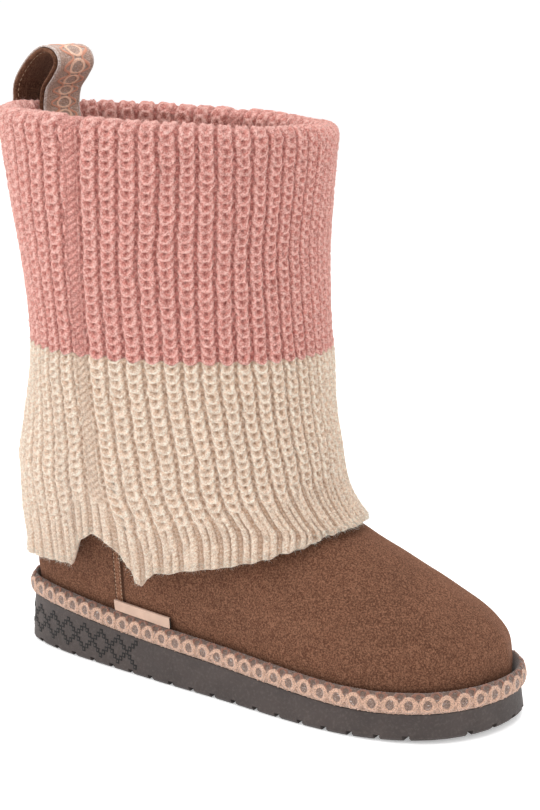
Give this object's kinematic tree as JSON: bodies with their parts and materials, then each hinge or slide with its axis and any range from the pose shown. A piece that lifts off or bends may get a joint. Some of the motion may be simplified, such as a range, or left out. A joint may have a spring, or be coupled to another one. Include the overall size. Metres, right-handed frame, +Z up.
{
  "type": "mid-calf boot",
  "caption": "Right mid-calf pull-on boot: suede-look foot on a rubber wedge sole, ribbon rand, folded two-tone rib-knit sleeve with a side slit, pull loop behind.",
  "frame": {"origin": "on the ground under the middle of the heel, at the heel's resting spot", "axes": "+X from heel to toe, +Y to the inner side of the foot, +Z up"},
  "size_m": [0.2803, 0.1536, 0.3061],
  "materials": {
    "rubber": "matt moulded foam rubber with a fine grain",
    "ribbon": "woven jacquard ribbon",
    "suede": "napped suede look",
    "footbed": "short pile lining",
    "knit": "chunky rib knit, slightly fuzzy",
    "label_cloth": "folded satin tape, bare"
  },
  "bodies": {
    "root": {"outsole": "rubber", "rand": "ribbon", "upper": "suede", "insole": "footbed", "sleeve": "knit", "pull_loop": "suede", "loop_ribbon": "ribbon", "label": "label_cloth"}
  },
  "joints": []
}
